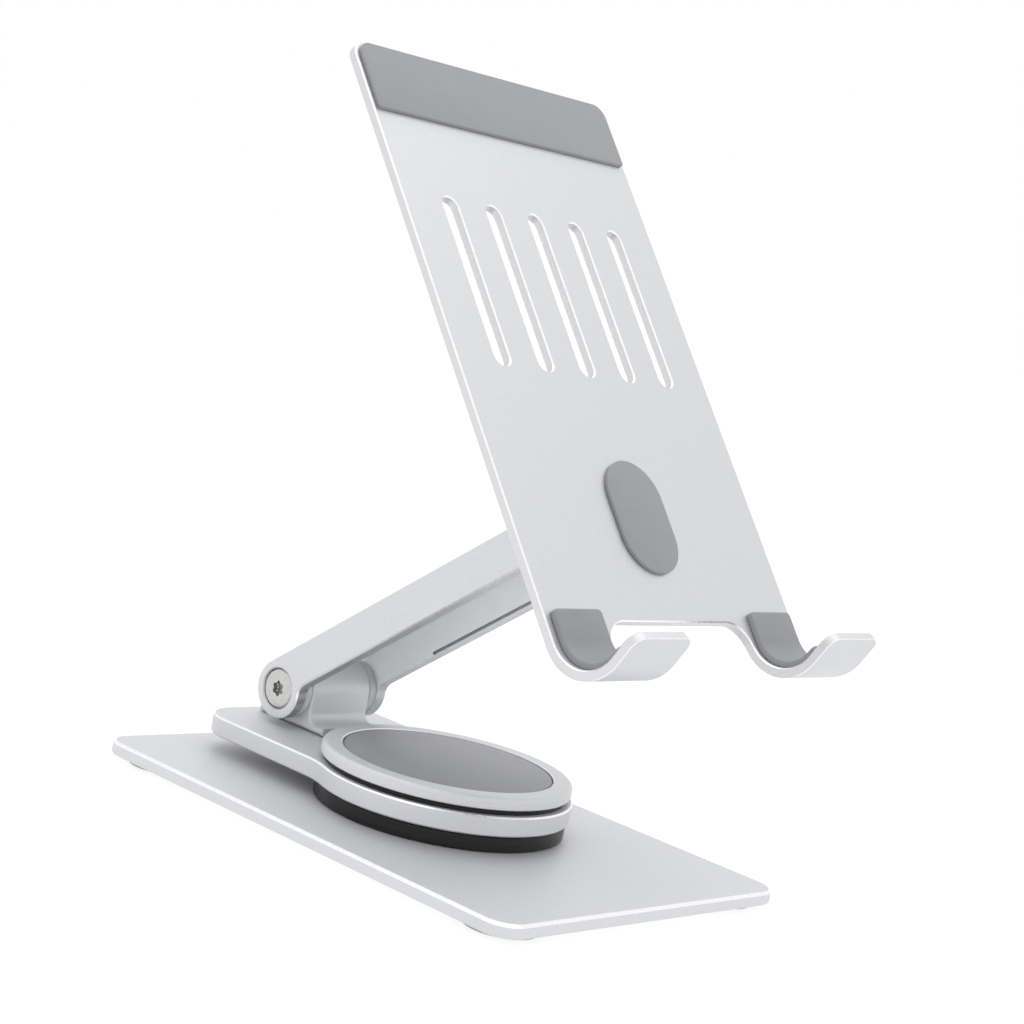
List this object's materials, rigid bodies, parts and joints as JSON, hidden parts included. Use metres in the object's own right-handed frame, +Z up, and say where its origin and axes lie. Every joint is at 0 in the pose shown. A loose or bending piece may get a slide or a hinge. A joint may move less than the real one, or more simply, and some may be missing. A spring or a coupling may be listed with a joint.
{
  "type": "tablet stand",
  "caption": "Folding aluminium tablet stand: slotted holder plate with padded hooks on a double-hinged arm, on a swivelling turntable over a flat base.",
  "frame": {"origin": "on the desk, under the middle of the whole stand's bounding box", "axes": "+Z up, +X to the stand's right as its user sees it, -Y towards the user: the hooks open towards -Y and the plate leans back towards +Y"},
  "size_m": [0.1288, 0.1974, 0.2349],
  "materials": {
    "base_plate": "silver anodised, fine bead-blasted satin",
    "top_disc": "silver anodised, fine bead-blasted satin",
    "swivel_plate": "silver anodised, fine bead-blasted satin",
    "lower_hinge_block": "silver anodised, fine bead-blasted satin",
    "arm": "silver anodised, fine bead-blasted satin",
    "holder_plate": "silver anodised, fine bead-blasted satin",
    "upper_hinge_block": "silver anodised, fine bead-blasted satin",
    "pivot_post": "bright machined steel",
    "base_screw_1": "bright machined steel",
    "base_screw_2": "bright machined steel",
    "base_screw_3": "bright machined steel",
    "base_screw_4": "bright machined steel",
    "disc_screw_1": "bright machined steel",
    "disc_screw_2": "bright machined steel",
    "disc_screw_3": "bright machined steel",
    "block_screw_1": "bright machined steel",
    "block_screw_2": "bright machined steel",
    "block_screw_3": "bright machined steel",
    "block_screw_4": "bright machined steel",
    "lug_screw_left": "bright machined steel",
    "lug_screw_right": "bright machined steel",
    "lower_hinge_bolt": "bright machined steel",
    "lower_hinge_nut": "bright machined steel",
    "upper_hinge_bolt": "bright machined steel",
    "upper_hinge_nut": "bright machined steel",
    "lower_washer_left": "bright machined steel",
    "lower_washer_right": "bright machined steel",
    "upper_washer_left": "bright machined steel",
    "upper_washer_right": "bright machined steel",
    "foot_front_left": "soft matt rubber",
    "foot_front_right": "soft matt rubber",
    "foot_back_left": "soft matt rubber",
    "foot_back_right": "soft matt rubber",
    "disc_pad": "smooth matt grey silicone",
    "top_pad": "smooth matt grey silicone",
    "oval_pad": "smooth matt grey silicone",
    "hook_pad_left": "smooth matt grey silicone",
    "hook_pad_right": "smooth matt grey silicone",
    "lower_slip_ring": "satin black low-friction plastic",
    "upper_slip_ring": "satin black low-friction plastic"
  },
  "bodies": {
    "base": {"base_plate": "base_plate", "foot_front_left": "foot_front_left", "foot_front_right": "foot_front_right", "foot_back_left": "foot_back_left", "foot_back_right": "foot_back_right", "lower_slip_ring": "lower_slip_ring", "pivot_post": "pivot_post", "upper_slip_ring": "upper_slip_ring", "top_disc": "top_disc", "disc_pad": "disc_pad", "base_screw_1": "base_screw_1", "base_screw_2": "base_screw_2", "base_screw_3": "base_screw_3", "base_screw_4": "base_screw_4", "disc_screw_1": "disc_screw_1", "disc_screw_2": "disc_screw_2", "disc_screw_3": "disc_screw_3"},
    "turntable": {"swivel_plate": "swivel_plate", "lower_hinge_block": "lower_hinge_block", "block_screw_1": "block_screw_1", "block_screw_2": "block_screw_2", "block_screw_3": "block_screw_3", "block_screw_4": "block_screw_4"},
    "arm": {"arm": "arm", "lower_hinge_bolt": "lower_hinge_bolt", "lower_hinge_nut": "lower_hinge_nut", "upper_hinge_bolt": "upper_hinge_bolt", "upper_hinge_nut": "upper_hinge_nut", "lower_washer_left": "lower_washer_left", "lower_washer_right": "lower_washer_right", "upper_washer_left": "upper_washer_left", "upper_washer_right": "upper_washer_right"},
    "holder": {"holder_plate": "holder_plate", "upper_hinge_block": "upper_hinge_block", "lug_screw_left": "lug_screw_left", "lug_screw_right": "lug_screw_right", "top_pad": "top_pad", "oval_pad": "oval_pad", "hook_pad_left": "hook_pad_left", "hook_pad_right": "hook_pad_right"}
  },
  "joints": [
    {"name": "turntable_spin", "type": "hinge", "parent": "base", "child": "turntable", "pos_m": [0, 0.0091, 0.0145], "axis": [0, 0, 1], "continuous": true},
    {"name": "lower_hinge", "type": "hinge", "parent": "turntable", "child": "arm", "pos_m": [0, 0.0699, 0.0294], "axis": [1, 0, 0], "range_deg": [-48, 15]},
    {"name": "upper_hinge", "type": "hinge", "parent": "arm", "child": "holder", "pos_m": [0, -0.03343, 0.10544], "axis": [1, 0, 0], "range_deg": [-78, 37]}
  ]
}
